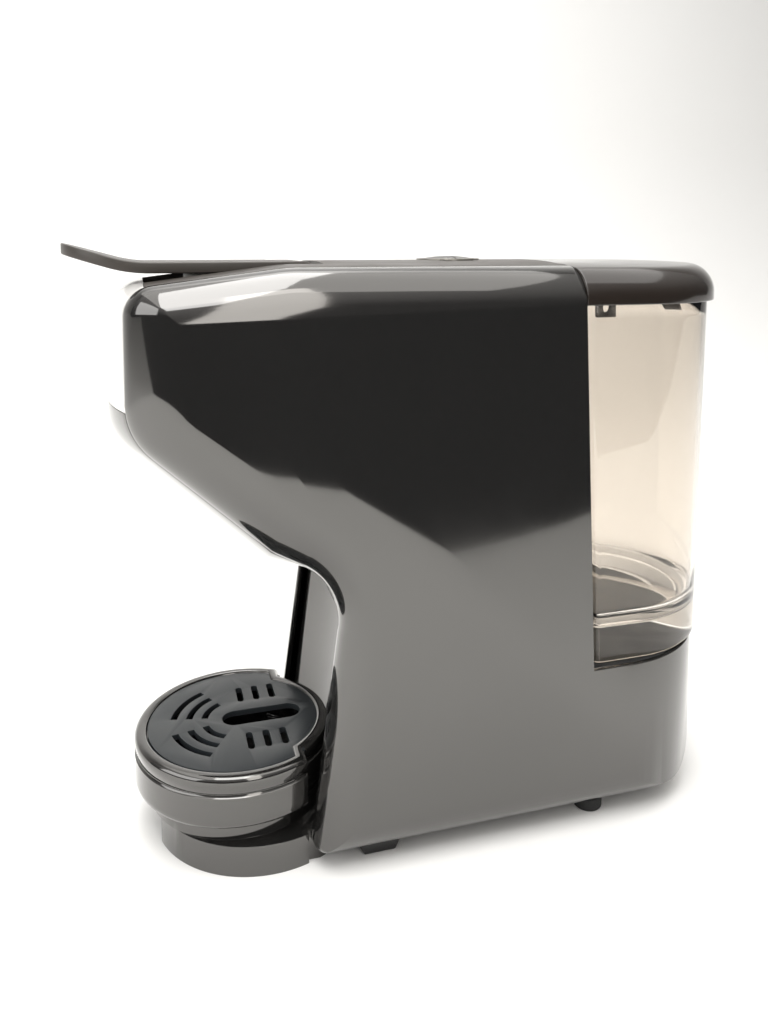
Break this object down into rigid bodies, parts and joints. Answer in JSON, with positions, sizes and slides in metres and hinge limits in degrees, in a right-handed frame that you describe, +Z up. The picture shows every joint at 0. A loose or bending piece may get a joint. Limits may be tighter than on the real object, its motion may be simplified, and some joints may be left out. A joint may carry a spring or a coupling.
{
  "type": "pod coffee machine",
  "caption": "Narrow countertop pod coffee machine with a top lever, clear rear water tank, sloping head over a cup space and a round slotted drip tray.",
  "frame": {"origin": "middle of the machine's bounding box, on the surface it stands on", "axes": "+Z up, +Y towards the water tank at the rear, +X across to the machine's left seen from the rear"},
  "size_m": [0.118, 0.3076, 0.262],
  "materials": {
    "shell_gloss": "high gloss black",
    "satin_top": "satin brown-grey",
    "silver_trim": "bright silver",
    "satin_black": "satin black",
    "inner_plastic": "moulded black",
    "zinc_frame": "zinc grey",
    "foot_rubber": "soft black",
    "screw_steel": "plated steel",
    "pale_plastic": "natural plastic",
    "seal_rubber": "red-brown silicone",
    "pump_casing": "plated casing",
    "heater_aluminium": "cast",
    "hose_silicone": "milky silicone",
    "board_green": "lacquered board",
    "wire_red": "insulated wire",
    "bezel_grey": "satin grey",
    "button_black": "satin dark",
    "tank_clear": "clear plastic",
    "lid_gloss": "high gloss black",
    "grid_satin": "satin black"
  },
  "bodies": {
    "case": {"side_shell_right": "shell_gloss", "side_shell_left": "shell_gloss", "base_plate": "inner_plastic", "front_pedestal": "shell_gloss", "head_front_cover": "shell_gloss", "front_trim": "silver_trim", "spout_housing": "satin_black", "column_cover": "shell_gloss", "top_cover": "satin_top", "tank_bay": "inner_plastic", "lever_well": "inner_plastic", "chassis_frame": "zinc_frame", "brew_deck": "zinc_frame", "front_feet": "satin_black", "rear_feet": "foot_rubber", "case_screws": "screw_steel", "lever_pin": "screw_steel", "brew_chamber": "inner_plastic", "chamber_seal": "seal_rubber", "pod_holder": "satin_black", "coffee_duct": "inner_plastic", "outlet_spout": "satin_black", "water_pump": "pump_casing", "pump_mounts": "foot_rubber", "thermoblock": "heater_aluminium", "thermostats": "pale_plastic", "flow_meter": "pale_plastic", "inlet_hose": "hose_silicone", "pressure_hose": "hose_silicone", "brew_hose": "hose_silicone", "hose_clips": "screw_steel", "control_board": "board_green", "button_switches": "pale_plastic", "wiring_loom": "wire_red", "button_bezel": "bezel_grey", "button_springs": "screw_steel", "cord_grommet": "foot_rubber", "tank_socket": "inner_plastic", "socket_seal": "seal_rubber"},
    "lever": {"brew_lever": "satin_top", "injector_head": "pale_plastic", "piercing_pins": "screw_steel", "head_gasket": "seal_rubber", "lever_screws": "screw_steel"},
    "button_small_cup": {"button_small_cup": "button_black"},
    "button_large_cup": {"button_large_cup": "button_black"},
    "tank": {"water_tank": "tank_clear", "tank_filter": "pale_plastic", "valve_spring": "screw_steel"},
    "valve": {"tank_valve": "pale_plastic"},
    "lid": {"tank_lid": "lid_gloss"},
    "tray": {"drip_tray": "shell_gloss"},
    "grid": {"drip_grid": "grid_satin"}
  },
  "joints": [
    {"name": "lever_hinge", "type": "hinge", "parent": "case", "child": "lever", "pos_m": [0, -0.0548, 0.247], "axis": [-1, 0, 0], "range_deg": [0, 80]},
    {"name": "small_cup_press", "type": "slide", "parent": "case", "child": "button_small_cup", "axis": [0, 0, -1], "range_m": [0, 0.0012], "stiffness_N_per_m": 400, "springref_m": -0.0008},
    {"name": "large_cup_press", "type": "slide", "parent": "case", "child": "button_large_cup", "axis": [0, 0, -1], "range_m": [0, 0.0012], "stiffness_N_per_m": 400, "springref_m": -0.0008},
    {"name": "tank_lift", "type": "slide", "parent": "case", "child": "tank", "axis": [0, 0, 1], "range_m": [0, 0.06]},
    {"name": "valve_lift", "type": "slide", "parent": "tank", "child": "valve", "axis": [0, 0, 1], "range_m": [0, 0.002], "stiffness_N_per_m": 150, "springref_m": -0.001, "deforming": ["valve_spring"]},
    {"name": "lid_lift", "type": "slide", "parent": "tank", "child": "lid", "axis": [0, 0, 1], "range_m": [0, 0.03]},
    {"name": "tray_slide", "type": "slide", "parent": "case", "child": "tray", "axis": [0, -1, 0], "range_m": [0, 0.09]},
    {"name": "grid_lift", "type": "slide", "parent": "tray", "child": "grid", "axis": [0, 0, 1], "range_m": [0, 0.04]}
  ]
}
